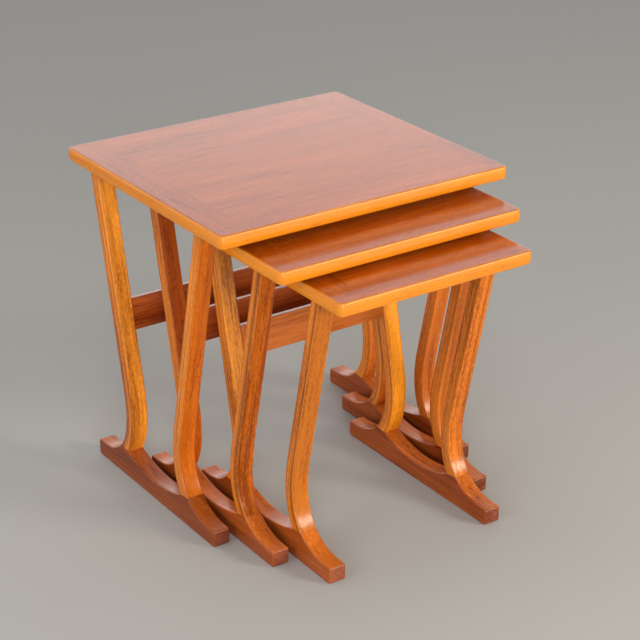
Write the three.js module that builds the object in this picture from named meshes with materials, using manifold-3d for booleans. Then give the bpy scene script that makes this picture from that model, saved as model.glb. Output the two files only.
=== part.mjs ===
// A nest of three teak tables, each one free to slide out from under the next larger one.
// Each table is two sides of bent legs on a long foot, joined by one rail, under a lipped top.
// Frame: +X to the right, -Y the way the smaller tables pull out, +Z up, millimetres.
// The origin is on the floor, under the centre of the nest with the tables as they stand.
import * as THREE from "three";
import { mergeVertices } from "three/addons/utils/BufferGeometryUtils.js";
import Module from "manifold-3d";

const wasm = await Module();
wasm.setup();

// Tables, largest first. halfFrame is from the middle to the outer faces of the legs, and
// forward is how far the table's frame stands in front of the large table's frame.
const TABLES = [
  { name: "large", height: 500, halfFrame: 235, topDepth: 430, forward: 0 },
  { name: "middle", height: 468.5, halfFrame: 194.5, topDepth: 406, forward: 92 },
  { name: "small", height: 441, halfFrame: 153, topDepth: 395, forward: 172 },
];

// Tops: a veneered panel with solid lipping under the edge of the veneer.
const TOP_THICK = 20;
const TOP_FORWARD = 5; // centre of the top in front of the centre of its frame
const SIDE_OVERHANG = 9;
const CORNER_RADIUS = 9;
const LIPPING_WIDTH = 6;
const VENEER_THICK = 1;

// Legs: straight and leaning in from the top, then bent outwards to the foot.
const LEG_WIDTH = 27.5;
const LEG_THICK = 19.3;
const LEAN = 0.217; // run for each unit of height
const BEND_HEIGHT = 149;
const BEND_HALF = 83.7; // from the frame's centre to the outer face where the bend starts
const BEND_PULL = 70;
const TOE_PULL = 73;
const BEND_STEPS = 16;

// Feet: a long runner, hollowed between the legs, with low square toes.
const FOOT_HALF = 171;
const TOE_HEIGHT = 25.5;
const TOE_FLAT = 10;
const TOE_CORNER = 4;
const TOE_ARRIS = 1.5;
const HOLLOW_HEIGHT = 28.8;
const JOINT_OUTER = 47.5; // height of the leg joint at the leg's outer face
const JOINT_INNER = 44.5;

// Rail between the two back legs, in line with them.
const RAIL_THICK = 13;
const RAIL_TALL = 48.6;
const RAIL_MIDDLE = 264.7; // height of the middle of its front face
const RAIL_INSET = 1;
const TENON_THICK = 7;
const TENON_TALL = 34;
const TENON_LENGTH = 14;

// Dowels, and the gap that every glued joint keeps.
const GLUE = 0.15;
const TOP_DOWEL = { radius: 4, inTop: 11, inLeg: 18 };
const FOOT_DOWEL = { radius: 5, inFoot: 18, inLeg: 16, lean: Math.PI / 6 };
const DOWEL_SIDES = 12;

const COLOURS = {
  veneer: { color: 0xa8643c, roughness: 0.42 },
  lipping: { color: 0xc9782c, roughness: 0.35 },
  leg: { color: 0xb5652a, roughness: 0.4 },
  foot: { color: 0x8a4322, roughness: 0.42 },
  rail: { color: 0x7a3a1e, roughness: 0.45 },
  dowel: { color: 0xd9b98a, roughness: 0.7 },
};

const TILT = Math.atan(LEAN);
const LEG_RUN = LEG_THICK / Math.cos(TILT); // thickness of a leg measured level
const SIDES = { left: -1, right: 1 };
const ENDS = { front: -1, back: 1 };

const point = (x, y) => new THREE.Vector2(x, y);

function material(kind) {
  return new THREE.MeshStandardMaterial({ metalness: 0, ...COLOURS[kind] });
}

function solid(geometry) {
  const plain = geometry.clone();
  plain.deleteAttribute("normal");
  plain.deleteAttribute("uv");
  const merged = mergeVertices(plain, 1e-4);
  return new wasm.Manifold(
    new wasm.Mesh({
      numProp: 3,
      vertProperties: new Float32Array(merged.attributes.position.array),
      triVerts: new Uint32Array(merged.index.array),
    }),
  );
}

function surface(body) {
  const mesh = body.getMesh();
  const geometry = new THREE.BufferGeometry();
  geometry.setAttribute("position", new THREE.BufferAttribute(mesh.vertProperties, 3));
  geometry.setIndex(new THREE.BufferAttribute(mesh.triVerts, 1));
  geometry.computeVertexNormals();
  return geometry;
}

function named(name, geometry, kind) {
  const mesh = new THREE.Mesh(geometry, material(kind));
  mesh.name = name;
  return mesh;
}

// An outline drawn as (y, z) and extruded along X, centred on x = 0.
function extrudeAcross(outline, width) {
  const geometry = new THREE.ExtrudeGeometry(new THREE.Shape(outline), {
    depth: width,
    bevelEnabled: false,
  });
  geometry.translate(0, 0, -width / 2);
  const across = new THREE.Matrix4().makeBasis(
    new THREE.Vector3(0, 1, 0),
    new THREE.Vector3(0, 0, 1),
    new THREE.Vector3(1, 0, 0),
  );
  return geometry.applyMatrix4(across);
}

// A round pin along Z, standing from z = -below to z = above.
function pin(radius, below, above) {
  const geometry = new THREE.CylinderGeometry(radius, radius, below + above, DOWEL_SIDES);
  geometry.rotateX(Math.PI / 2);
  return geometry.translate(0, 0, (above - below) / 2);
}

// The bend, from the straight of the leg to the flat of the toe, as (y, z).
const LEG_DOWN = point(-LEAN, -1).normalize();
const BEND_START = point(BEND_HALF, BEND_HEIGHT);
const BEND_END = point(FOOT_HALF - TOE_FLAT, TOE_HEIGHT);
const BEND = new THREE.CubicBezierCurve(
  BEND_START,
  BEND_START.clone().addScaledVector(LEG_DOWN, BEND_PULL),
  point(BEND_END.x - TOE_PULL, TOE_HEIGHT),
  BEND_END,
);

function outerBend() {
  return BEND.getPoints(BEND_STEPS);
}

// The inner face of the leg is the outer one moved in by the leg's thickness.
function innerBend() {
  const points = [];
  for (let i = 0; i <= BEND_STEPS; i++) {
    const t = i / BEND_STEPS;
    const along = BEND.getTangent(t);
    const inward = point(along.y, -along.x).multiplyScalar(LEG_THICK);
    points.push(BEND.getPoint(t).add(inward));
  }
  return points;
}

// The part of a falling line of points above a height, ended exactly at that height.
function above(points, height) {
  const next = points.findIndex((p) => p.y < height);
  const high = points[next - 1];
  const low = points[next];
  const share = (high.y - height) / (high.y - low.y);
  return [...points.slice(0, next), high.clone().lerp(low, share)];
}

function below(points, height) {
  const next = points.findIndex((p) => p.y < height);
  const cut = above(points, height).at(-1);
  return [cut, ...points.slice(next)];
}

function straightOuter(height) {
  return point(BEND_HALF + (height - BEND_HEIGHT) * LEAN, height);
}

// Centre of a leg at a height on its straight, measured from the frame's centre.
function legCentre(height) {
  return straightOuter(height).x - LEG_RUN / 2;
}

// A back leg's outline, cut level under the top and sloped where it meets the foot.
function legOutline(topHeight) {
  const outer = above(outerBend(), JOINT_OUTER + GLUE);
  const inner = above(innerBend(), JOINT_INNER + GLUE);
  const topOuter = straightOuter(topHeight);
  const topInner = point(topOuter.x - LEG_RUN, topHeight);
  return [topInner, ...inner, ...outer.reverse(), topOuter];
}

// Half of the foot's outline, from under the middle round the toe to the hollow.
function halfFoot() {
  const toe = below(outerBend(), JOINT_OUTER).reverse();
  const heel = above(innerBend(), JOINT_INNER).at(-1);
  const corner = new THREE.EllipseCurve(
    FOOT_HALF - TOE_CORNER,
    TOE_CORNER,
    TOE_CORNER,
    TOE_CORNER,
    -Math.PI / 2,
    0,
  );
  return [
    ...corner.getPoints(3),
    point(FOOT_HALF, TOE_HEIGHT - TOE_ARRIS),
    point(FOOT_HALF - TOE_ARRIS, TOE_HEIGHT),
    ...toe,
    ...hollow(heel),
  ];
}

// The round hollow from the inner edge of a leg to the middle of the foot.
function hollow(heel) {
  const rise = heel.y - HOLLOW_HEIGHT;
  const radius = (heel.x * heel.x + rise * rise) / (2 * rise);
  const half = Math.asin(heel.x / radius);
  const steps = 6;
  const points = [];
  for (let i = 0; i <= steps; i++) {
    const angle = half * (1 - i / steps);
    const lift = radius * (1 - Math.cos(angle));
    points.push(point(radius * Math.sin(angle), HOLLOW_HEIGHT + lift));
  }
  return points;
}

function footOutline() {
  const right = halfFoot();
  const left = right
    .slice(0, -1)
    .map((p) => point(-p.x, p.y))
    .reverse();
  return [...right, ...left];
}

// Places of the joints in a frame, on the back leg's side.
function topDowelPlace(topHeight) {
  const middle = topHeight - TOP_DOWEL.inLeg / 2;
  return new THREE.Matrix4().makeTranslation(0, legCentre(middle), topHeight);
}

function footDowelPlace() {
  const outer = above(outerBend(), JOINT_OUTER).at(-1);
  const inner = above(innerBend(), JOINT_INNER).at(-1);
  const centre = outer.add(inner).multiplyScalar(0.5);
  return new THREE.Matrix4()
    .makeTranslation(0, centre.x, centre.y)
    .multiply(new THREE.Matrix4().makeRotationX(FOOT_DOWEL.lean));
}

function railPlace() {
  const front = straightOuter(RAIL_MIDDLE).x - LEG_RUN;
  const into = RAIL_INSET + RAIL_THICK / 2;
  return new THREE.Vector3(
    0,
    front + into * Math.cos(TILT),
    RAIL_MIDDLE - into * Math.sin(TILT),
  );
}

function topDowelHole(topHeight) {
  const hole = pin(TOP_DOWEL.radius + GLUE, TOP_DOWEL.inLeg + GLUE, TOP_DOWEL.inTop + GLUE);
  return hole.applyMatrix4(topDowelPlace(topHeight));
}

function footDowelHole() {
  const hole = pin(FOOT_DOWEL.radius + GLUE, FOOT_DOWEL.inFoot + GLUE, FOOT_DOWEL.inLeg + GLUE);
  return hole.applyMatrix4(footDowelPlace());
}

// The hole that takes the rail's tenon, in the face of a back leg that looks inwards.
function mortise(inward) {
  const deep = TENON_LENGTH + 2 * GLUE;
  const box = new THREE.BoxGeometry(deep, TENON_THICK + 2 * GLUE, TENON_TALL + 2 * GLUE);
  box.rotateX(-TILT);
  const place = railPlace();
  return box.translate(inward * (LEG_WIDTH / 2 - deep / 2 + GLUE), place.y, place.z);
}

function leg(topHeight, side, end) {
  let body = solid(extrudeAcross(legOutline(topHeight), LEG_WIDTH));
  body = body.subtract(solid(topDowelHole(topHeight)));
  body = body.subtract(solid(footDowelHole()));
  if (end === ENDS.back) body = body.subtract(solid(mortise(-side)));
  return surface(body);
}

function foot() {
  let body = solid(extrudeAcross(footOutline(), LEG_WIDTH));
  for (const turn of [0, Math.PI]) {
    body = body.subtract(solid(footDowelHole().rotateZ(turn)));
  }
  return surface(body);
}

function rail(halfFrame) {
  const between = 2 * (halfFrame - LEG_WIDTH - GLUE);
  const board = new THREE.BoxGeometry(between, RAIL_THICK, RAIL_TALL);
  const tenons = new THREE.BoxGeometry(between + 2 * TENON_LENGTH, TENON_THICK, TENON_TALL);
  return surface(solid(board).add(solid(tenons)));
}

// A rectangle with round corners, seen from above and raised from z = low to z = high.
function roundedSlab(width, depth, radius, low, high) {
  const x = width / 2 - radius;
  const y = depth / 2 - radius;
  const shape = new THREE.Shape();
  shape.absarc(x, y, radius, 0, Math.PI / 2);
  shape.absarc(-x, y, radius, Math.PI / 2, Math.PI);
  shape.absarc(-x, -y, radius, Math.PI, 1.5 * Math.PI);
  shape.absarc(x, -y, radius, 1.5 * Math.PI, 2 * Math.PI);
  const geometry = new THREE.ExtrudeGeometry(shape, {
    depth: high - low,
    bevelEnabled: false,
    curveSegments: 8,
  });
  return geometry.translate(0, 0, low);
}

// The panel: a core inside the lipping, and a veneer sheet that reaches over the lipping.
function panel(width, depth, height, holes) {
  const inside = 2 * (LIPPING_WIDTH + GLUE);
  const low = height - TOP_THICK;
  const core = roundedSlab(
    width - inside,
    depth - inside,
    CORNER_RADIUS - LIPPING_WIDTH,
    low,
    height,
  );
  const sheet = roundedSlab(width, depth, CORNER_RADIUS, height - VENEER_THICK, height);
  let body = solid(core).add(solid(sheet));
  for (const hole of holes) body = body.subtract(solid(hole));
  return surface(body);
}

// The lipping of the side that faces -Y, mitred through both round corners.
function lipping(length, depth, height) {
  const x = length / 2 - CORNER_RADIUS;
  const y = -depth / 2 + CORNER_RADIUS;
  const inner = CORNER_RADIUS - LIPPING_WIDTH;
  const low = 1.25 * Math.PI + GLUE / CORNER_RADIUS;
  const high = 1.75 * Math.PI - GLUE / CORNER_RADIUS;
  const down = 1.5 * Math.PI;
  const shape = new THREE.Shape();
  shape.absarc(-x, y, CORNER_RADIUS, low, down);
  shape.absarc(x, y, CORNER_RADIUS, down, high);
  shape.absarc(x, y, inner, high, down, true);
  shape.absarc(-x, y, inner, down, low, true);
  const geometry = new THREE.ExtrudeGeometry(shape, {
    depth: TOP_THICK - VENEER_THICK - GLUE,
    bevelEnabled: false,
    curveSegments: 5,
  });
  return geometry.translate(0, 0, height - TOP_THICK);
}

function addTop(group, table) {
  const width = 2 * (table.halfFrame + SIDE_OVERHANG);
  const top = new THREE.Group();
  top.position.y = -TOP_FORWARD;
  group.add(top);
  const holes = [];
  for (const side of Object.values(SIDES)) {
    for (const end of Object.values(ENDS)) {
      const hole = topDowelHole(table.height - TOP_THICK);
      if (end === ENDS.front) hole.rotateZ(Math.PI);
      hole.translate(side * (table.halfFrame - LEG_WIDTH / 2), TOP_FORWARD, 0);
      holes.push(hole);
    }
  }
  const geometry = panel(width, table.topDepth, table.height, holes);
  top.add(named(table.name + "_top_panel", geometry, "veneer"));
  ["front", "right", "back", "left"].forEach((face, turn) => {
    const along = turn % 2 ? table.topDepth : width;
    const across = turn % 2 ? width : table.topDepth;
    const strip = lipping(along, across, table.height);
    const mesh = named(table.name + "_lipping_" + face, strip, "lipping");
    mesh.rotation.z = (turn * Math.PI) / 2;
    top.add(mesh);
  });
}

// One leg with its dowels. A front leg is a back leg turned half round.
function addLeg(group, table, sideName, endName) {
  const side = SIDES[sideName];
  const end = ENDS[endName];
  const place = endName + "_" + sideName;
  const topHeight = table.height - TOP_THICK;
  const corner = new THREE.Group();
  corner.position.x = side * (table.halfFrame - LEG_WIDTH / 2);
  if (end === ENDS.front) corner.rotation.z = Math.PI;
  group.add(corner);
  corner.add(named(table.name + "_leg_" + place, leg(topHeight - GLUE, side, end), "leg"));
  const topDowel = pin(TOP_DOWEL.radius, TOP_DOWEL.inLeg, TOP_DOWEL.inTop);
  topDowel.applyMatrix4(topDowelPlace(topHeight));
  corner.add(named(table.name + "_top_dowel_" + place, topDowel, "dowel"));
  const footDowel = pin(FOOT_DOWEL.radius, FOOT_DOWEL.inFoot, FOOT_DOWEL.inLeg);
  footDowel.applyMatrix4(footDowelPlace());
  corner.add(named(table.name + "_foot_dowel_" + place, footDowel, "dowel"));
}

function addFoot(group, table, sideName) {
  const mesh = named(table.name + "_foot_" + sideName, foot(), "foot");
  mesh.position.x = SIDES[sideName] * (table.halfFrame - LEG_WIDTH / 2);
  group.add(mesh);
}

function addRail(group, table) {
  const mesh = named(table.name + "_rail", rail(table.halfFrame), "rail");
  mesh.position.copy(railPlace());
  mesh.rotation.x = -TILT;
  group.add(mesh);
}

function makeTable(table) {
  const group = new THREE.Group();
  addTop(group, table);
  for (const side of Object.keys(SIDES)) {
    addFoot(group, table, side);
    for (const end of Object.keys(ENDS)) addLeg(group, table, side, end);
  }
  addRail(group, table);
  return group;
}

// Half way between the front edge of the small top and the back edge of the large one.
function nestCentre() {
  const large = TABLES[0];
  const small = TABLES[2];
  const back = large.topDepth / 2 - TOP_FORWARD;
  const front = -small.forward - TOP_FORWARD - small.topDepth / 2;
  return (front + back) / 2;
}

const nest = new THREE.Group();
for (const table of TABLES) {
  const group = makeTable(table);
  group.position.y = -table.forward - nestCentre();
  nest.add(group);
}

export default nest;
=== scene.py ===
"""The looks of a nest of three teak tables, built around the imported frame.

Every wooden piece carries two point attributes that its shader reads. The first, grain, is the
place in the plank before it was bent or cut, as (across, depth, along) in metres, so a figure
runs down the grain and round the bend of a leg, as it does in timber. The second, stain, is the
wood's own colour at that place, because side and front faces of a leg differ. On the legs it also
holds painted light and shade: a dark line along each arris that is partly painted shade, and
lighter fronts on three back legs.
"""
import math
import random

import bmesh
import bpy
from mathutils import Matrix, Vector


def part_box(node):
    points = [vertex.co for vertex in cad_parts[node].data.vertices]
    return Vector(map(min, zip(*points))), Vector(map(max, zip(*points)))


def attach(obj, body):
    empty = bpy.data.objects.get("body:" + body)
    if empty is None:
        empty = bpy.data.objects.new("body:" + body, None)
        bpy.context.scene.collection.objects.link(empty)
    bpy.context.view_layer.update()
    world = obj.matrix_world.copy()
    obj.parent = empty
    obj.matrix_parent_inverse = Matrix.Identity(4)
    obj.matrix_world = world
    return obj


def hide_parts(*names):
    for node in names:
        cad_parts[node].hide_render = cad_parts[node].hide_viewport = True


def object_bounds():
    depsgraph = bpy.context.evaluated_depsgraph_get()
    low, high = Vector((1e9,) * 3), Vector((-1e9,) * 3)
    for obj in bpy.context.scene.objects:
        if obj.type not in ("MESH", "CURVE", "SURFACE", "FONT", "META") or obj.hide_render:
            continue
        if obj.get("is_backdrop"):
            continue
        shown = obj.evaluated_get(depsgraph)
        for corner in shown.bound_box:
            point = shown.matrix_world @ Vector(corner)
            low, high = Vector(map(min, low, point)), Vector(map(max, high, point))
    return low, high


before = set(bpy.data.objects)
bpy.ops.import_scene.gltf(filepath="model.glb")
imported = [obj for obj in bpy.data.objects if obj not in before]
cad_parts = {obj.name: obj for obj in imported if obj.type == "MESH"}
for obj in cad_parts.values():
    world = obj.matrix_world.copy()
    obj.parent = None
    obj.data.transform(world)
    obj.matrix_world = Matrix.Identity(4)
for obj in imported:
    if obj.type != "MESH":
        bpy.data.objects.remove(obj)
CAD_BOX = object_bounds()

# Sizes in metres, the same as in the CAD source. LEAN is a slope.
TABLES = ("large", "middle", "small")
SIDES = ("left", "right")
ENDS = ("front", "back")
TOP_THICK = 0.020
CORNER_RADIUS = 0.009
LIPPING_WIDTH = 0.006
LEG_WIDTH = 0.0275
LEG_THICK = 0.0193
LEAN = 0.217
BEND_HEIGHT = 0.149
BEND_HALF = 0.0837
BEND_PULL = 0.070
TOE_PULL = 0.073
FOOT_HALF = 0.171
TOE_HEIGHT = 0.0255
TOE_FLAT = 0.010
HOLLOW_HEIGHT = 0.0288
JOINT_OUTER = 0.0475
JOINT_INNER = 0.0445
RAIL_THICK = 0.013
RAIL_TALL = 0.0486
RAIL_MIDDLE = 0.2647
RAIL_INSET = 0.001
TOP_DOWEL = {"radius": 0.004, "in_top": 0.011, "in_leg": 0.018}
FOOT_DOWEL = {"radius": 0.005, "in_foot": 0.018, "in_leg": 0.016, "lean": math.pi / 6}
GLUE = 0.00015

# Sizes that only the finished surface has.
VENEER = 0.0006
BORDER_WIDTH = 0.048
SEAM = 0.00012
RUB_THROUGH = 0.0002             # the border is worn through to the lipping past this drop
TOP_ROUND = 0.0030
UNDER_ROUND = 0.0035
EDGE_SWELL = math.radians(14)    # how far the edge's face leans back at its top and bottom
LEG_ARRIS = 0.0024
FOOT_ARRIS = 0.0026
TOE_ROUND_LOW = 0.004
TOE_ROUND_HIGH = 0.003
TOE_END = 0.001                  # the end grain's colour reaches this far in from the toe's end
RAIL_ARRIS = 0.0016
SQUARE_BELOW_TOP = 0.012         # a leg's rings are square to it from this far under its top
SQUARE_ABOVE_BEND = 0.020        # down to this far over its bend
PLIES = 3
SHARP_EDGE = math.radians(32)    # faces that meet at more than this show an edge

# The wood's colours, as linear red, green and blue.
VENEER_STAIN = Vector((0.57, 0.107, 0.004))
BORDER_STAIN = Vector((0.57, 0.105, 0.004))
LIPPING_STAIN = Vector((0.88, 0.295, 0.008))
BACKING_STAIN = Vector((0.36, 0.15, 0.055))
LEG_SIDE_STAIN = Vector((0.81, 0.245, 0.020))
LEG_FRONT_STAIN = Vector((0.80, 0.20, 0.013))
FOOT_SIDE_STAIN = Vector((0.36, 0.080, 0.014))
FOOT_RAMP_STAIN = Vector((0.61, 0.155, 0.022))
FOOT_END_STAIN = Vector((0.28, 0.077, 0.036))
RAIL_STAIN = Vector((0.56, 0.130, 0.020))

# Boards whose tone differs from the rest. These scale the red, green and blue of the stain of a
# leg's front and back, of a foot or of a rail. The lighter tones of three back legs are partly the
# wood's own gold and partly painted light, brightening fronts that lie in shade deep under the tops.
BOARD_TONES_AND_PAINTED_LIGHT = {
    # partly painted light: lighter, for a leg deep in shade under the tops
    "large_back_left_leg": (1.20, 1.75, 2.6),
    "large_front_left_leg": (0.86, 0.80, 0.8),
    "middle_back_left_leg": (0.73, 0.60, 0.65),
    # partly painted light: lighter, for a leg deep in shade under the tops
    "small_back_left_leg": (1.06, 1.55, 2.0),
    "middle_front_left_leg": (0.86, 0.85, 0.95),
    "small_front_left_leg": (0.74, 0.85, 0.8),
    "small_front_right_leg": (1.05, 1.15, 1.1),
    # partly painted light: lighter, for a leg deep in shade under the tops
    "small_back_right_leg": (1.22, 1.65, 1.4),
    "large_left_foot": (0.77, 0.73, 0.78),
    "small_left_foot": (1.10, 1.10, 1.0),
    "large_cross_rail": (0.75, 0.65, 0.6),
    "middle_cross_rail": (0.72, 0.58, 0.5),
    "small_cross_rail": (0.92, 1.0, 0.85),
}

# A darker stripe down a leg: its middle and half width across the leg, and how dark it is.
LEG_STRIPES = {
    "large_back_left_leg": (-0.006, 0.004, 0.22),
    "small_front_right_leg": (-0.006, 0.004, 0.35),
    "middle_front_right_leg": (0.004, 0.006, 0.45),
}

# The dark line where a leg's front meets its side, partly a scraped line in the wood and partly
# painted shade of the rounded arris: its place and half width, as shares of the arris, and how
# dark it is.
ARRIS_SCRAPE_AND_PAINTED_SHADE = (0.7, 0.3, 0.45)

# A dark glue line down a leg's sides: its depth under the outer face, and how dark it is.
GLUE_LINE_HALF = 0.0027
GLUE_LINES = {
    "middle_front_left_leg": (0.0053, 0.5),
    "small_front_left_leg": (0.0053, 0.6),
    "small_front_right_leg": (0.0053, 0.4),
}

TILT = math.atan(LEAN)
LEG_RUN = LEG_THICK / math.cos(TILT)


# ---------------------------------------------------------------- places, from the frame


def table_place(table):
    """Where a table stands and how large its top is, from the boxes of its CAD nodes."""
    low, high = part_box(table + "_top_panel")
    foot_low, foot_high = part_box(table + "_foot_left")
    return {
        "under": high.z - TOP_THICK,
        "half_width": high.x,
        "half_depth": (high.y - low.y) / 2,
        "top_y": (high.y + low.y) / 2,
        "frame_y": (foot_low.y + foot_high.y) / 2,
        "leg_x": -(foot_low.x + foot_high.x) / 2,
    }


# ---------------------------------------------------------------- the bent outline


def flat(y, z):
    return Vector((y, z))


def spaced(first, last, steps):
    return [first + (last - first) * i / steps for i in range(steps + 1)]


def arc(centre, radius, first, last, steps):
    """Points round a centre, from one angle to another."""
    angles = spaced(first, last, steps)
    return [centre + flat(math.cos(angle), math.sin(angle)) * radius for angle in angles]


BEND_START = flat(BEND_HALF, BEND_HEIGHT)
BEND_END = flat(FOOT_HALF - TOE_FLAT, TOE_HEIGHT)
BEND = (
    BEND_START,
    BEND_START + flat(-LEAN, -1).normalized() * BEND_PULL,
    BEND_END - flat(TOE_PULL, 0),
    BEND_END,
)


def outer(t):
    """A point of the leg's outer face on the bend."""
    a, b, c, d = BEND
    s = 1 - t
    return a * s**3 + b * (3 * s * s * t) + c * (3 * s * t * t) + d * t**3


def inner(t):
    """The same point moved in by the leg's thickness."""
    a, b, c, d = BEND
    s = 1 - t
    along = ((b - a) * (s * s) + (c - b) * (2 * s * t) + (d - c) * (t * t)).normalized()
    return outer(t) + flat(along.y, -along.x) * LEG_THICK


def share_at(curve, height, halvings=40):
    """How far along a falling curve a height is reached."""
    low, high = 0.0, 1.0
    for _ in range(halvings):
        middle = (low + high) / 2
        if curve(middle).y > height:
            low = middle
        else:
            high = middle
    return low


def straight_outer(height):
    return flat(BEND_HALF + (height - BEND_HEIGHT) * LEAN, height)


# The outer face of a leg's plank, from above the tallest table down round the bend.
SPINE_TOP = 0.6
SPINE_STEPS = 40
SPINE = [straight_outer(SPINE_TOP)] + [outer(t) for t in spaced(0, 1, SPINE_STEPS)]
SPINE_LENGTHS = [0.0]
for start, stop in zip(SPINE, SPINE[1:]):
    SPINE_LENGTHS.append(SPINE_LENGTHS[-1] + (stop - start).length)


def plank_place(y, z):
    """(depth, along) of a leg's point in its flat plank, from the nearest point of its outer face."""
    best = None
    here = flat(y, z)
    for i in range(len(SPINE) - 1):
        step = SPINE[i + 1] - SPINE[i]
        share = max(0.0, min(1.0, (here - SPINE[i]).dot(step) / step.length_squared))
        away = (here - SPINE[i] - step * share).length
        if best is None or away < best[0]:
            best = (away, SPINE_LENGTHS[i] + share * step.length)
    return best


# ---------------------------------------------------------------- mesh helpers


def rounded_loop(width, height, radius, steps, split=(1, 1)):
    """A rectangle with round corners about its middle, anticlockwise. Its level and its upright
    sides are divided into as many parts as split says."""
    x = width / 2 - radius
    y = height / 2 - radius
    corners = (flat(x, -y), flat(x, y), flat(-x, y), flat(-x, -y))
    loop = []
    for i, centre in enumerate(corners):
        first = (i - 1) * math.pi / 2
        loop += arc(centre, radius, first, first + math.pi / 2, steps)
        side = corners[(i + 1) % 4] - centre
        loop += [loop[-1] + side * share for share in spaced(0, 1, split[(i + 1) % 2])[1:-1]]
    return loop


def skin(bm, rings):
    """Faces between rings of points. Returns the rings as vertices."""
    rows = [[bm.verts.new(p) for p in ring] for ring in rings]
    count = len(rows[0])
    for low, high in zip(rows, rows[1:]):
        for i in range(count):
            j = (i + 1) % count
            bm.faces.new((low[i], low[j], high[j], high[i]))
    return rows


def rim_edges(bm, row):
    return [bm.edges.get((a, b)) or bm.edges.new((a, b)) for a, b in zip(row, row[1:] + row[:1])]


def drilled_cap(bm, row, normal, holes, sides=20):
    """Closes a flat rim with blind holes in it: (point on the axis, axis inwards, radius, depth)."""
    edges = rim_edges(bm, row)
    origin = row[0].co.copy()
    for centre, axis, radius, depth in holes:
        axis = axis.normalized()
        across = axis.orthogonal().normalized()
        other = axis.cross(across)
        mouth, floor = [], []
        for i in range(sides):
            angle = 2 * math.pi * i / sides
            spoke = centre + (across * math.cos(angle) + other * math.sin(angle)) * radius
            slide = (origin - spoke).dot(normal) / axis.dot(normal)
            mouth.append(bm.verts.new(spoke + axis * slide))
            floor.append(bm.verts.new(spoke + axis * depth))
        for i in range(sides):
            j = (i + 1) % sides
            bm.faces.new((mouth[i], mouth[j], floor[j], floor[i]))
        bm.faces.new(floor)
        edges += rim_edges(bm, mouth)
    bmesh.ops.triangle_fill(bm, edges=edges, use_beauty=True, normal=normal)


def mark_wood(bm, name, place, stain):
    """Writes each vertex's place in its plank, moved along by a step that the name fixes, and its
    colour. Both come from functions of the vertex's position."""
    dice = random.Random(name)
    shift = Vector((dice.uniform(0, 3), LEG_THICK * dice.randrange(200), dice.uniform(0, 9)))
    grain_layer = bm.verts.layers.float_vector.new("grain")
    stain_layer = bm.verts.layers.float_vector.new("stain")
    for vertex in bm.verts:
        vertex[grain_layer] = Vector(place(vertex.co)) + shift
        vertex[stain_layer] = stain(vertex.co)


def near(value, middle, half):
    """1 where a value is the middle, falling to 0 at half a width from it."""
    return max(0.0, 1 - abs(value - middle) / half)


def toned_with_painted_light(stain, name):
    return stain * Vector(BOARD_TONES_AND_PAINTED_LIGHT.get(name, (1, 1, 1)))


def finish_piece(bm, name, table, material, nodes, move):
    """Turns a bmesh into a piece in its place, which rides on its table's body and stands for
    the CAD nodes given."""
    bmesh.ops.recalc_face_normals(bm, faces=bm.faces)
    bm.transform(move)
    for edge in bm.edges:
        edge.smooth = len(edge.link_faces) == 2 and edge.calc_face_angle() < SHARP_EDGE
    for face in bm.faces:
        face.smooth = True
    mesh = bpy.data.meshes.new(name)
    bm.to_mesh(mesh)
    bm.free()
    mesh.materials.append(material)
    piece = bpy.data.objects.new(name, mesh)
    bpy.context.scene.collection.objects.link(piece)
    normals = piece.modifiers.new("even_normals", "WEIGHTED_NORMAL")
    normals.keep_sharp = True
    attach(piece, table + "_table")
    if nodes:
        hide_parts(*nodes)


# ---------------------------------------------------------------- materials


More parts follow.
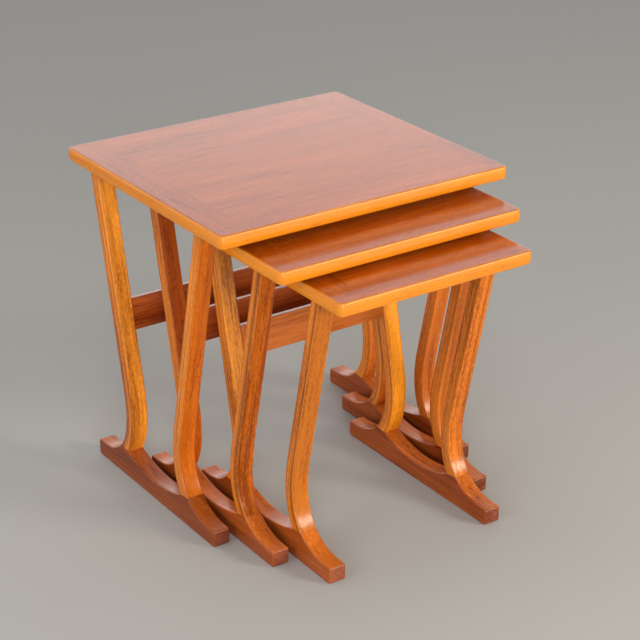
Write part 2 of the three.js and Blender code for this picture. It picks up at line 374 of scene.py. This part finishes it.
class Nodes:
    """A node tree being built: short calls for the nodes that the materials and the room need."""

    def __init__(self, tree):
        self.tree = tree
        self.tree.nodes.clear()

    def node(self, kind):
        return self.tree.nodes.new("ShaderNode" + kind)

    def link(self, source, target):
        self.tree.links.new(source, target)

    def feed(self, socket, value):
        if isinstance(value, bpy.types.NodeSocket):
            self.link(value, socket)
        else:
            socket.default_value = value

    def maths(self, operation, *values):
        node = self.node("Math")
        node.operation = operation
        for socket, value in zip(node.inputs, values):
            self.feed(socket, value)
        return node.outputs[0]

    def attribute(self, name):
        source = self.node("Attribute")
        source.attribute_name = name
        return source.outputs["Vector"]

    def centred(self, value, amount, base):
        """base + amount * (value - 0.5)"""
        return self.maths("MULTIPLY_ADD", self.maths("SUBTRACT", value, 0.5), amount, base)

    def product(self, first, second):
        return self.mix(1.0, first, second, "MULTIPLY")

    def scaled(self, vector, scale, shift=(0, 0, 0)):
        node = self.node("VectorMath")
        node.operation = "MULTIPLY_ADD"
        self.feed(node.inputs[0], vector)
        node.inputs[1].default_value = scale
        node.inputs[2].default_value = shift
        return node.outputs[0]

    def added(self, first, second):
        node = self.node("VectorMath")
        node.operation = "ADD"
        self.feed(node.inputs[0], first)
        self.feed(node.inputs[1], second)
        return node.outputs[0]

    def parts(self, vector):
        node = self.node("SeparateXYZ")
        self.feed(node.inputs[0], vector)
        return node.outputs

    def noise(self, vector, detail=2.0, rough=0.5, twist=0.0):
        node = self.node("TexNoise")
        self.feed(node.inputs["Vector"], vector)
        node.inputs["Scale"].default_value = 1.0
        node.inputs["Detail"].default_value = detail
        node.inputs["Roughness"].default_value = rough
        node.inputs["Distortion"].default_value = twist
        return node.outputs

    def ramp(self, value, stops, smooth=False):
        node = self.node("ValToRGB")
        node.color_ramp.interpolation = "EASE" if smooth else "LINEAR"
        elements = node.color_ramp.elements
        for place, colour in stops[2:]:
            elements.new(place)
        for element, (place, colour) in zip(elements, stops):
            element.position = place
            element.color = (*colour, 1)
        self.feed(node.inputs[0], value)
        return node.outputs[0]

    def spread(self, value, low, high, to_low=0.0, to_high=1.0, smooth=False):
        node = self.node("MapRange")
        node.interpolation_type = "SMOOTHSTEP" if smooth else "LINEAR"
        self.feed(node.inputs["Value"], value)
        node.inputs["From Min"].default_value = low
        node.inputs["From Max"].default_value = high
        node.inputs["To Min"].default_value = to_low
        node.inputs["To Max"].default_value = to_high
        return node.outputs[0]

    def mix(self, share, first, second, blend="MIX"):
        node = self.node("Mix")
        node.data_type = "RGBA"
        node.blend_type = blend
        self.feed(node.inputs[0], share)
        for socket, value in zip((node.inputs[6], node.inputs[7]), (first, second)):
            if isinstance(value, tuple) and len(value) == 3:
                value = (*value, 1)
            self.feed(socket, value)
        return node.outputs[2]


class Shader(Nodes):
    """A material with one Principled surface."""

    def __init__(self, name):
        self.material = bpy.data.materials.new(name)
        self.material.use_nodes = True
        super().__init__(self.material.node_tree)
        self.surface = self.node("BsdfPrincipled")
        self.link(self.surface.outputs[0], self.node("OutputMaterial").inputs["Surface"])

    def paint(self, colour, roughness, height, depth):
        """Links the colour, the roughness and a bump of a depth in metres."""
        bump = self.node("Bump")
        bump.inputs["Strength"].default_value = 1.0
        bump.inputs["Distance"].default_value = depth
        self.feed(bump.inputs["Height"], height)
        self.link(colour, self.surface.inputs["Base Color"])
        self.link(roughness, self.surface.inputs["Roughness"])
        self.link(bump.outputs[0], self.surface.inputs["Normal"])
        return self.material


# How fast each layer of the teak changes (across, depth, along), per metre of plank.
WANDER_SCALE = (9, 9, 1.6)
FIGURE_SCALE = (28, 28, 3.0)
RING_SCALE = 190
LINE_SCALE = (430, 430, 20)
FLECK_SCALE = (520, 520, 150)
FIBRE_SCALE = (1100, 1100, 26)
PORE_SCALE = (1500, 1500, 90)

# What multiplies the stain: in dark, middling and light grain, in a pore and at a glue line.
TEAK_SHADES = [(0.12, (0.40, 0.29, 0.22)), (0.5, (0.74, 0.68, 0.62)), (0.88, (1, 1, 1))]
PORE_SHADE = (0.42, 0.33, 0.30)
PORE_COVER = 0.55                # how much of a pore's shade shows
GLUE_SHADE = (0.35, 0.25, 0.22)

# How deep the grain is to the touch, under lacquer and bare.
LACQUERED_DEPTH = 0.00005
BARE_DEPTH = 0.00004


def wandering(s, plank, reach=0.012):
    """The place in the plank, shifted about a little, so that no line of grain is straight."""
    cloud = s.noise(s.scaled(plank, WANDER_SCALE), 2)["Color"]
    return s.added(plank, s.scaled(cloud, (reach, reach, 0), (-reach / 2, -reach / 2, 0)))


def grain_tone(s, grain, fibre, figure, streaks, run, fleck):
    """How light the wood is, about 0.5: a slow figure, growth rings, lines, flecks and fibres."""
    broad = s.noise(s.scaled(grain, FIGURE_SCALE), 3, 0.55, 0.3)[0]
    rings = s.noise(s.scaled(grain, (RING_SCALE, RING_SCALE, run)), 3, 0.6, 0.5)[0]
    lines = s.noise(s.scaled(grain, LINE_SCALE), 2, 0.55, 0.3)[0]
    flecks = s.noise(s.scaled(grain, FLECK_SCALE), 1)[0]
    tone = s.centred(broad, 1.5 * figure, 0.5)
    tone = s.centred(rings, 1.1 * streaks, tone)
    tone = s.centred(lines, 0.75 * streaks, tone)
    tone = s.centred(flecks, fleck, tone)
    return s.centred(fibre, 0.35, tone)


def ply_tone(s, depth, tone):
    """Gives each ply a tone of its own. Depth counts the plies."""
    sheet = s.node("TexWhiteNoise")
    sheet.noise_dimensions = "1D"
    s.feed(sheet.inputs["W"], s.maths("FLOOR", depth))
    return s.centred(sheet.outputs[0], 0.3, tone)


def glued(s, depth, shade):
    """Darkens the shade where two plies meet."""
    edge = s.maths("ABSOLUTE", s.maths("SUBTRACT", s.maths("FRACT", depth), 0.5))
    line = s.spread(edge, 0.42, 0.47, 0.0, 0.8)
    return s.mix(line, shade, s.product(shade, GLUE_SHADE))


def teak(name, figure=1.0, streaks=1.0, plies=0, rough=0.20, shine=0.5, run=2.6, fleck=0.3):
    """Lacquered teak: grain and open pores over the stain, and glue lines if it has plies.
    Figure, streaks and fleck say how strong each is, and run how fast the rings change along
    the grain."""
    s = Shader(name)
    plank = s.attribute("grain")
    grain = wandering(s, plank)
    fibre = s.noise(s.scaled(grain, FIBRE_SCALE), 2, 0.6)[0]
    pore = s.spread(s.noise(s.scaled(grain, PORE_SCALE), 2, 0.5)[0], 0.60, 0.70)
    tone = grain_tone(s, grain, fibre, figure, streaks, run, fleck)
    if plies:
        depth = s.maths("MULTIPLY_ADD", s.parts(plank)[1], plies / LEG_THICK, 0.5)
        tone = ply_tone(s, depth, tone)
    shade = s.ramp(tone, TEAK_SHADES, True)
    shade = s.mix(s.maths("MULTIPLY", pore, PORE_COVER), shade, s.product(shade, PORE_SHADE))
    if plies:
        shade = glued(s, depth, shade)
    s.surface.inputs["Specular IOR Level"].default_value = shine
    colour = s.product(shade, s.attribute("stain"))
    satin = s.spread(fibre, 0.3, 0.7, rough + 0.05, rough - 0.03)
    roughness = s.maths("MULTIPLY_ADD", pore, 0.1, satin)
    height = s.maths("MULTIPLY_ADD", pore, -0.8, s.maths("MULTIPLY", fibre, 0.5))
    return s.paint(colour, roughness, height, LACQUERED_DEPTH)


def beech():
    """Bare beech for the dowels: pale, with short dark flecks along the grain."""
    s = Shader("dowel_beech")
    place = s.node("TexCoord").outputs["Object"]
    tone = s.noise(s.scaled(place, (260, 260, 14)), 3, 0.6)[0]
    colour = s.ramp(tone, [(0.3, (0.52, 0.33, 0.16)), (0.7, (0.72, 0.52, 0.30))])
    fleck = s.spread(s.noise(s.scaled(place, (1300, 1300, 240)), 1)[0], 0.62, 0.7)
    colour = s.mix(fleck, colour, (0.36, 0.20, 0.09))
    return s.paint(colour, s.spread(tone, 0.3, 0.7, 0.72, 0.6), fleck, BARE_DEPTH)


def backing():
    """The unpolished backing veneer under a top."""
    s = Shader("backing_veneer")
    plank = s.attribute("grain")
    tone = s.noise(s.scaled(plank, (90, 90, 2.5)), 4, 0.6, 0.4)[0]
    fine = s.noise(s.scaled(plank, (1200, 1200, 40)), 2)[0]
    shade = s.ramp(s.centred(fine, 0.4, tone), [(0.3, (0.55, 0.5, 0.5)), (0.7, (1, 1, 1))])
    colour = s.product(shade, s.attribute("stain"))
    return s.paint(colour, s.spread(fine, 0.3, 0.7, 0.62, 0.5), fine, BARE_DEPTH)


def make_materials():
    return {
        "veneer": teak("veneer_teak", 0.6, 0.6, rough=0.13, shine=0.54, run=12, fleck=0.45),
        "lipping": teak("lipping_teak", 0.4, 0.4, rough=0.30, shine=0.5),
        "leg": teak("leg_teak", 1.0, 0.8, PLIES, rough=0.24, shine=0.35, fleck=0.7),
        "foot": teak("foot_teak", 1.0, 0.9, shine=0.25),
        "rail": teak("rail_teak", 1.0, 1.0, shine=0.25),
        "backing": backing(),
        "dowel": beech(),
    }


# ---------------------------------------------------------------- the tops


def corner_path(half_length, half_depth, inset, steps=8):
    """The outer edge of the strip that faces -Y, from one mitre to the other, moved in by inset.
    Points are (x, y), from -X to +X, about the middle of the top."""
    x = half_length - CORNER_RADIUS
    y = -half_depth + CORNER_RADIUS
    radius = CORNER_RADIUS - inset
    points = []
    for centre, first in ((-x, 1.25), (x, 1.5)):
        for angle in spaced(first * math.pi, (first + 0.25) * math.pi, steps):
            points.append((centre + radius * math.cos(angle), y + radius * math.sin(angle)))
    return points


def edge_profile():
    """(inset, height over the underside) down the swelling edge of a top, from its flat upper
    face to its flat underside: a small arc, a wide one and another small one."""
    lean = EDGE_SWELL
    wide = TOP_THICK - (TOP_ROUND + UNDER_ROUND) * (1 - math.sin(lean))
    swell = wide / (2 * math.sin(lean))
    back = swell * (1 - math.cos(lean))
    points = []
    for angle in spaced(math.pi / 2, lean, 9):
        inset = back + TOP_ROUND * (math.cos(lean) - math.cos(angle))
        points.append((inset, TOP_THICK - TOP_ROUND * (1 - math.sin(angle))))
    middle = TOP_THICK - TOP_ROUND * (1 - math.sin(lean)) - wide / 2
    for angle in spaced(lean, -lean, 6)[1:]:
        points.append((swell * (1 - math.cos(angle)), middle + swell * math.sin(angle)))
    for angle in spaced(lean, math.pi / 2, 8)[1:]:
        inset = back + UNDER_ROUND * (math.cos(lean) - math.cos(angle))
        points.append((inset, UNDER_ROUND * (1 - math.sin(angle))))
    return points


def split_profile():
    """The edge's profile in two: the part that is the veneer's edge, and the lipping's."""
    points = edge_profile()
    cut = TOP_THICK - VENEER
    under = next(i for i, (_, z) in enumerate(points) if z < cut)
    (first, high), (second, low) = points[under - 1], points[under]
    meet = (first + (second - first) * (high - cut) / (high - low), cut)
    return points[:under] + [meet], [meet] + points[under:]


def lipping_section():
    """(inset, height) right round a lipping."""
    section = split_profile()[1]
    section.append((LIPPING_WIDTH, 0))
    section.append((LIPPING_WIDTH, TOP_THICK - VENEER - SEAM))
    section[0] = (section[0][0], TOP_THICK - VENEER - SEAM)
    return section


def strip_size(place, turn):
    """Half the length of a side of the top, and half the top's size across it."""
    lengths = (place["half_width"], place["half_depth"])
    return lengths if turn % 2 == 0 else lengths[::-1]


def in_top(place, turn=0):
    """Puts a piece made about the middle of the underside in its top, turned to its side."""
    middle = Matrix.Translation((0, place["top_y"], place["under"]))
    return middle @ Matrix.Rotation(turn * math.pi / 2, 4, "Z")


def lipping(table, face, turn, place, material):
    """One strip, mitred through its round corners."""
    length, depth = strip_size(place, turn)
    section = lipping_section()
    loops = [corner_path(length, depth, inset) for inset, _ in section]
    rings = []
    for i in range(len(loops[0])):
        rings.append([(loop[i][0], loop[i][1], z) for loop, (_, z) in zip(loops, section)])
    bm = bmesh.new()
    rows = skin(bm, rings)
    bm.faces.new(rows[0])
    bm.faces.new(rows[-1][::-1])
    name = f"{table}_{face}_lipping"
    mark_wood(bm, name, lambda p: (p.z, p.y, p.x), lambda p: LIPPING_STAIN)
    node = f"{table}_lipping_{face}"
    finish_piece(bm, name, table, material, [node], in_top(place, turn))


def border_mesh(length, depth):
    """A mitred strip of veneer along the -Y edge, with its outer edge rounded over."""
    bm = bmesh.new()
    rows = []
    for inset, z in split_profile()[0]:
        rows.append([bm.verts.new((x, y, z)) for x, y in corner_path(length, depth, inset)])
    for upper, lower in zip(rows, rows[1:]):
        for i in range(len(upper) - 1):
            bm.faces.new((upper[i], lower[i], lower[i + 1], upper[i + 1]))
    inside = BORDER_WIDTH - SEAM
    corners = ((length - inside, -depth + inside), (-length + inside, -depth + inside))
    high_in = [bm.verts.new((x, y, TOP_THICK)) for x, y in corners]
    low_in = [bm.verts.new((x, y, TOP_THICK - VENEER)) for x, y in corners]
    bm.faces.new(rows[0] + high_in)
    bm.faces.new((rows[-1] + low_in)[::-1])
    bm.faces.new((high_in[0], low_in[0], low_in[1], high_in[1]))
    bm.faces.new([row[-1] for row in rows] + [low_in[0], high_in[0]])
    bm.faces.new([row[0] for row in rows][::-1] + [high_in[1], low_in[1]])
    return bm


def border(table, face, turn, place, material):
    """A strip of the veneered border, worn golden at its rim."""
    bm = border_mesh(*strip_size(place, turn))
    name = f"{table}_border_{face}"

    def stain(p):
        worn = max(0.0, min(1.0, (TOP_THICK - p.z) / RUB_THROUGH))
        return BORDER_STAIN.lerp(LIPPING_STAIN, worn)

    mark_wood(bm, name, lambda p: (p.y, p.z, p.x), stain)
    finish_piece(bm, name, table, material, (), in_top(place, turn))


def field(table, place, material):
    """The sheet of veneer inside the border."""
    x = place["half_width"] - BORDER_WIDTH
    y = place["half_depth"] - BORDER_WIDTH
    loop = [(-x, -y), (x, -y), (x, y), (-x, y)]
    bm = bmesh.new()
    rings = [[(px, py, z) for px, py in loop] for z in (TOP_THICK - VENEER, TOP_THICK)]
    rows = skin(bm, rings)
    bm.faces.new(rows[0])
    bm.faces.new(rows[1])
    name = f"{table}_field"
    mark_wood(bm, name, lambda p: (p.y, p.z, p.x), lambda p: VENEER_STAIN)
    finish_piece(bm, name, table, material, [f"{table}_top_panel"], in_top(place))


def core(table, place, material):
    """The board between the lippings, with a hole for each leg's dowel."""
    inset = LIPPING_WIDTH + SEAM
    loop = rounded_loop(
        2 * (place["half_width"] - inset),
        2 * (place["half_depth"] - inset),
        CORNER_RADIUS - LIPPING_WIDTH,
        6,
    )
    bm = bmesh.new()
    rings = [[(x, y, z) for x, y in loop] for z in (0, TOP_THICK - VENEER - SEAM)]
    rows = skin(bm, rings)
    holes = []
    radius, deep = TOP_DOWEL["radius"] + GLUE, TOP_DOWEL["in_top"] + GLUE
    for side in (-1, 1):
        for end in (-1, 1):
            y = end * leg_middle(place["under"]) + place["frame_y"] - place["top_y"]
            centre = Vector((side * place["leg_x"], y, 0))
            holes.append((centre, Vector((0, 0, 1)), radius, deep))
    drilled_cap(bm, rows[0], Vector((0, 0, -1)), holes)
    bm.faces.new(rows[1])
    name = f"{table}_core"
    mark_wood(bm, name, lambda p: (p.y, p.z, p.x), lambda p: BACKING_STAIN)
    finish_piece(bm, name, table, material, (), in_top(place))


# ---------------------------------------------------------------- legs, feet and rails


def leg_middle(under):
    """Distance of the top dowels from the middle of the frame."""
    return straight_outer(under - TOP_DOWEL["in_leg"] / 2).x - LEG_RUN / 2


def joint_points(gap=0.0):
    """Outer and inner ends of the joint between a leg and the foot."""
    high = share_at(outer, JOINT_OUTER + gap)
    low = share_at(inner, JOINT_INNER + gap)
    return high, low


def leg_stations(under):
    """Pairs of an outer and an inner point down a back leg: level at the top, square to the
    plank below, and along the sloped joint at the foot."""
    top = straight_outer(under - GLUE)
    stations = [(top, top - flat(LEG_RUN, 0))]
    for height in spaced(under - SQUARE_BELOW_TOP, BEND_HEIGHT + SQUARE_ABOVE_BEND, 4):
        at = straight_outer(height)
        stations.append((at, at + flat(-1, LEAN).normalized() * LEG_THICK))
    high, low = joint_points(GLUE)
    for share in spaced(0, 1, 22):
        stations.append((outer(high * share), inner(low * share)))
    return stations


def leg_mesh(under):
    """A bent back leg with round arrises and a dowel hole in each end, about its own middle."""
    loop = rounded_loop(LEG_WIDTH, LEG_THICK, LEG_ARRIS, 5, (8, 5))
    rings = []
    for out_point, in_point in leg_stations(under):
        ring = []
        for x, v in loop:
            at = out_point.lerp(in_point, v / LEG_THICK + 0.5)
            ring.append((x, at.x, at.y))
        rings.append(ring)
    bm = bmesh.new()
    rows = skin(bm, rings)
    top_hole = Vector((0, leg_middle(under), under))
    radius, deep = TOP_DOWEL["radius"] + GLUE, TOP_DOWEL["in_leg"] + GLUE
    drilled_cap(bm, rows[0], Vector((0, 0, 1)), [(top_hole, Vector((0, 0, -1)), radius, deep)])
    centre, axis = foot_dowel_line()
    slope = (rows[-1][0].co - rows[-1][len(loop) // 2].co).cross(Vector((1, 0, 0))).normalized()
    radius, deep = FOOT_DOWEL["radius"] + GLUE, FOOT_DOWEL["in_leg"] + GLUE
    drilled_cap(bm, rows[-1], slope, [(centre, axis, radius, deep)])
    return bm


def in_plank(p):
    """A leg's point in its flat plank."""
    depth, along = plank_place(p.y, p.z)
    return p.x, depth, along


def leg_stain_and_painted_light(name):
    """The colour of a leg at a point: its own tone in front and behind, on three back legs lightened
    in part as painted light, the same golden sides as every leg, a dark line where they meet that
    is partly a scraped line and partly painted shade, and its stripe and glue line if it has them."""
    front = toned_with_painted_light(LEG_FRONT_STAIN, name)
    stripe_at, stripe_half, stripe_dark = LEG_STRIPES.get(name, (0, 1, 0))
    glue_at, glue_dark = GLUE_LINES.get(name, (0, 0))
    shade_line_at, shade_line_half, shade_line_dark = ARRIS_SCRAPE_AND_PAINTED_SHADE

    def stain(p):
        share = (abs(p.x) - LEG_WIDTH / 2 + LEG_ARRIS) / LEG_ARRIS
        share = max(0.0, min(1.0, share))
        # painted shade: the dark line along the rounded arris, partly a scraped line in the wood
        line = near(share, shade_line_at, shade_line_half) * shade_line_dark
        stripe = near(p.x, stripe_at, stripe_half) * stripe_dark
        glue = near(in_plank(p)[1], glue_at, GLUE_LINE_HALF) * glue_dark * share
        return front.lerp(LEG_SIDE_STAIN, share) * (1 - line) * (1 - stripe) * (1 - glue)

    return stain


def in_frame(place, side):
    """Puts a leg or a foot made about its own middle on its side of the frame."""
    x = place["leg_x"] * (-1 if side == "left" else 1)
    return Matrix.Translation((x, place["frame_y"], 0))


def leg(table, end, side, place, material):
    """A leg in its place. A front leg is a back leg turned round."""
    bm = leg_mesh(place["under"])
    name = f"{table}_{end}_{side}_leg"
    mark_wood(bm, name, in_plank, leg_stain_and_painted_light(name))
    move = in_frame(place, side)
    if end == "front":
        move = move @ Matrix.Rotation(math.pi, 4, "Z")
    finish_piece(bm, name, table, material, [f"{table}_leg_{end}_{side}"], move)


def foot_dowel_line():
    """The middle of the joint and the dowel's way up into the leg."""
    high, low = joint_points()
    middle = (outer(high) + inner(low)) / 2
    lean = FOOT_DOWEL["lean"]
    return Vector((0, middle.x, middle.y)), Vector((0, -math.sin(lean), math.cos(lean)))


def half_foot_outline():
    """(y, z) round half a foot that runs on past its middle and up into the leg."""
    stub = 0.3      # up the leg, as a share of the bend
    reach = 0.02    # past the middle, in metres
    high, low = joint_points()
    points = [flat(-reach, 0)]
    centre = flat(FOOT_HALF - TOE_ROUND_LOW, TOE_ROUND_LOW)
    points += arc(centre, TOE_ROUND_LOW, -math.pi / 2, 0, 6)
    centre = flat(FOOT_HALF - TOE_ROUND_HIGH, TOE_HEIGHT - TOE_ROUND_HIGH)
    points += arc(centre, TOE_ROUND_HIGH, 0, math.pi / 2, 6)
    points += [outer(t) for t in spaced(1, high, 18)]
    points += [outer(t) for t in spaced(high, high - stub, 5)[1:]]
    points += [inner(t) for t in spaced(low - stub, low, 5)]
    heel = inner(low)
    rise = heel.y - HOLLOW_HEIGHT
    radius = (heel.x**2 + rise**2) / (2 * rise)
    half = math.asin(heel.x / radius)
    for angle in spaced(half, -reach / radius, 12)[1:]:
        points.append(flat(radius * math.sin(angle), HOLLOW_HEIGHT + radius * (1 - math.cos(angle))))
    return points


# How near two points of a foot are when a cut or a mirrored half takes them as one.
CUT_SLACK = 1e-7
SEAM_SLACK = 1e-6

# A mitre longer than the inset divided by this is cut short.
SHARPEST_MITRE = 0.4


def inset_loop(points, distance):
    """An anticlockwise outline moved in by a distance."""
    moved = []
    count = len(points)
    for i, here in enumerate(points):
        before = (here - points[i - 1]).normalized()
        after = (points[(i + 1) % count] - here).normalized()
        first = flat(-before.y, before.x)
        second = flat(-after.y, after.x)
        mitre = (first + second).normalized()
        moved.append(here + mitre * (distance / max(SHARPEST_MITRE, mitre.dot(first))))
    return moved


def half_foot_mesh():
    """The half of a foot at +Y, with round arrises. It runs on past the foot's middle, and up
    past the joint with the leg."""
    outline = half_foot_outline()
    rings = []
    half = LEG_WIDTH / 2
    for sign in (-1, 1):
        angles = spaced(0, math.pi / 2, 5)
        for angle in angles if sign < 0 else angles[::-1]:
            loop = inset_loop(outline, FOOT_ARRIS * (1 - math.sin(angle)))
            x = sign * (half - FOOT_ARRIS * (1 - math.cos(angle)))
            rings.append([(x, p.x, p.y) for p in loop])
    bm = bmesh.new()
    rows = skin(bm, rings)
    bm.faces.new(rows[0])
    bm.faces.new(rows[-1])
    return bm


def everything(bm):
    return bm.verts[:] + bm.edges[:] + bm.faces[:]


def only(kind, parts):
    return [part for part in parts if isinstance(part, kind)]


def cut_at_leg(bm):
    """Cuts half a foot off along its sloped joint and closes it, with the dowel's hole."""
    high, low = joint_points()
    out_point, in_point = outer(high), inner(low)
    joint = Vector((0, out_point.x, out_point.y))
    along = joint - Vector((0, in_point.x, in_point.y))
    upwards = Vector((1, 0, 0)).cross(along).normalized()
    cut = bmesh.ops.bisect_plane(
        bm, geom=everything(bm), plane_co=joint, plane_no=upwards, clear_outer=True, dist=CUT_SLACK
    )["geom_cut"]
    centre, axis = foot_dowel_line()
    hole = (centre, -axis, FOOT_DOWEL["radius"] + GLUE, FOOT_DOWEL["in_foot"] + GLUE)
    drilled_cap(bm, ordered_loop(only(bmesh.types.BMEdge, cut)), upwards, [hole])


def mirror_foot(bm):
    """Cuts half a foot off at the middle and joins its mirror image on."""
    bmesh.ops.bisect_plane(
        bm, geom=everything(bm), plane_co=(0, 0, 0), plane_no=(0, 1, 0), clear_inner=True,
        dist=CUT_SLACK,
    )
    copy = bmesh.ops.duplicate(bm, geom=everything(bm))["geom"]
    bmesh.ops.scale(bm, vec=(1, -1, 1), verts=only(bmesh.types.BMVert, copy))
    bmesh.ops.reverse_faces(bm, faces=only(bmesh.types.BMFace, copy))
    seam = [v for v in bm.verts if abs(v.co.y) < SEAM_SLACK]
    bmesh.ops.remove_doubles(bm, verts=seam, dist=SEAM_SLACK)


def foot(table, side, place, material):
    """A foot with round arrises, drilled for the leg dowels."""
    bm = half_foot_mesh()
    cut_at_leg(bm)
    mirror_foot(bm)
    name = f"{table}_{side}_foot"

    def stain(p):
        share = max(0.0, (abs(p.x) - LEG_WIDTH / 2 + FOOT_ARRIS) / FOOT_ARRIS)
        at_end = abs(p.y) > FOOT_HALF - TOE_END
        above = FOOT_END_STAIN if at_end else FOOT_RAMP_STAIN
        return toned_with_painted_light(above.lerp(FOOT_SIDE_STAIN, min(1.0, share)), name)

    mark_wood(bm, name, lambda p: (p.x, p.z, p.y), stain)
    node = f"{table}_foot_{side}"
    finish_piece(bm, name, table, material, [node], in_frame(place, side))


def ordered_loop(edges):
    """The vertices of one closed loop of edges, in order."""
    start = edges[0].verts[0]
    loop = [start]
    left = set(edges)
    while True:
        step = next((e for e in loop[-1].link_edges if e in left), None)
        if step is None:
            return loop[:-1] if loop[-1] is start else loop
        left.remove(step)
        loop.append(step.other_vert(loop[-1]))


def rail(table, place, material):
    """The board between the back legs, leaning with them."""
    half = place["leg_x"] - LEG_WIDTH / 2 - GLUE
    loop = rounded_loop(RAIL_THICK, RAIL_TALL, RAIL_ARRIS, 4)
    bm = bmesh.new()
    rings = [[(x, y, z) for y, z in loop] for x in (-half, half)]
    rows = skin(bm, rings)
    bm.faces.new(rows[0])
    bm.faces.new(rows[1])
    name = f"{table}_cross_rail"
    stain = toned_with_painted_light(RAIL_STAIN, name)
    mark_wood(bm, name, lambda p: (p.z, p.y, p.x), lambda p: stain)
    front = straight_outer(RAIL_MIDDLE).x - LEG_RUN
    into = RAIL_INSET + RAIL_THICK / 2
    middle = (0, place["frame_y"] + front + into * math.cos(TILT), RAIL_MIDDLE - into * math.sin(TILT))
    move = Matrix.Translation(middle) @ Matrix.Rotation(-TILT, 4, "X")
    finish_piece(bm, name, table, material, [f"{table}_rail"], move)


def dress_dowels(table, material):
    """The dowels' CAD shapes are right, so they stay and only get their wood."""
    for kind in ("top", "foot"):
        for end in ENDS:
            for side in SIDES:
                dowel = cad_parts[f"{table}_{kind}_dowel_{end}_{side}"]
                dowel.material_slots[0].material = material


def make_table(table, materials):
    """All of one table's pieces."""
    place = table_place(table)
    core(table, place, materials["backing"])
    field(table, place, materials["veneer"])
    for turn, face in enumerate(("front", "right", "back", "left")):
        border(table, face, turn, place, materials["veneer"])
        lipping(table, face, turn, place, materials["lipping"])
    for side in SIDES:
        foot(table, side, place, materials["foot"])
        for end in ENDS:
            leg(table, end, side, place, materials["leg"])
    rail(table, place, materials["rail"])
    dress_dowels(table, materials["dowel"])


# ---------------------------------------------------------------- studio


FLOOR_HALF = 9
FLOOR_DROP = 0.0003
EYE = Vector((-1.3783, -1.98855, 1.3865))
EYE_YAW = math.radians(-34.925)
EYE_PITCH = math.radians(24.838)
EYE_ROLL = math.radians(0.311)
LENS = 101.4
SENSOR = 36


def camera():
    """The photograph's viewpoint: a long lens, from the front left and above."""
    data = bpy.data.cameras.new("camera")
    data.lens = LENS
    data.sensor_width = SENSOR
    data.clip_start = 0.1
    data.clip_end = 50
    eye = bpy.data.objects.new("camera", data)
    bpy.context.scene.collection.objects.link(eye)
    turn = Matrix.Rotation(EYE_YAW, 4, "Z") @ Matrix.Rotation(math.pi / 2 - EYE_PITCH, 4, "X")
    eye.matrix_world = Matrix.Translation(EYE) @ turn @ Matrix.Rotation(EYE_ROLL, 4, "Z")
    bpy.context.scene.camera = eye


def floor():
    """A plain pale floor, just under the feet."""
    bm = bmesh.new()
    bmesh.ops.create_grid(bm, x_segments=2, y_segments=2, size=FLOOR_HALF)
    mesh = bpy.data.meshes.new("floor")
    bm.to_mesh(mesh)
    bm.free()
    s = Shader("floor_pale")
    place = s.node("TexCoord").outputs["Object"]
    tone = s.noise(s.scaled(place, (900, 900, 900)), 2)[0]
    colour = s.ramp(tone, [(0.3, (0.36, 0.352, 0.337)), (0.7, (0.43, 0.42, 0.402))])
    s.link(colour, s.surface.inputs["Base Color"])
    s.surface.inputs["Roughness"].default_value = 0.9
    s.surface.inputs["Specular IOR Level"].default_value = 0.2
    mesh.materials.append(s.material)
    ground = bpy.data.objects.new("floor", mesh)
    ground.location.z = -FLOOR_DROP
    bpy.context.scene.collection.objects.link(ground)
    ground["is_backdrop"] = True


def lamp(name, place, target, size, power, colour=(1, 1, 1)):
    """A round soft box at a place, turned to a target."""
    data = bpy.data.lights.new(name, "AREA")
    data.shape = "DISK"
    data.size = size
    data.energy = power
    data.color = colour
    light = bpy.data.objects.new(name, data)
    bpy.context.scene.collection.objects.link(light)
    light.location = place
    light.rotation_euler = (Vector(target) - Vector(place)).to_track_quat("-Z", "Y").to_euler()


# How bright the room is, by the upward part of the direction, and its strength at the brightest.
WALL_STOPS = ((0.0, 1.0), (0.28, 1.0), (0.38, 0.7), (0.6, 0.4), (1.0, 0.35))
ROOM_STRENGTH = 2.0
ROOM_COLOUR = (1.0, 0.995, 0.985, 1)


def room():
    """A white room: a bright wall behind the tables, darker towards the ceiling, and a dimmer
    side behind the camera."""
    world = bpy.data.worlds.new("room")
    bpy.context.scene.world = world
    world.use_nodes = True
    n = Nodes(world.node_tree)
    light = n.node("Background")
    n.link(light.outputs[0], n.node("OutputWorld").inputs["Surface"])
    way = n.parts(n.node("TexCoord").outputs["Generated"])
    wall = n.ramp(way[2], [(at, (value, value, value)) for at, value in WALL_STOPS])
    behind = n.spread(way[1], -0.1, 0.4, 0.25, smooth=True)
    strength = n.maths("MULTIPLY", n.maths("MULTIPLY", wall, behind), ROOM_STRENGTH)
    n.link(strength, light.inputs["Strength"])
    light.inputs["Color"].default_value = ROOM_COLOUR


def studio():
    """The room, a key lamp, a soft light from each side in front and a fill from the left."""
    room()
    lamp("key", (-1.6, -2.3, 3.0), (0, 0, 0.3), 0.8, 24, (1.0, 0.99, 0.97))
    lamp("window", (-1.45, -3.4, 1.0), (0, 0, 0.3), 2.0, 82)
    lamp("right_window", (1.75, -2.75, 1.3), (0, 0, 0.1), 1.2, 76, (1.0, 0.94, 0.80))
    lamp("left_fill", (-3.2, -0.6, 1.6), (0, 0, 0.3), 1.6, 28)


def save_sizes():
    boxes = {"cad": CAD_BOX, "visual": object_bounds()}
    {k: [list(corner) for corner in box] for k, box in boxes.items()}


camera()
bpy.context.scene.view_settings.view_transform = "Standard"
floor()
studio()
wood = make_materials()
for table_name in TABLES:
    make_table(table_name, wood)
save_sizes()
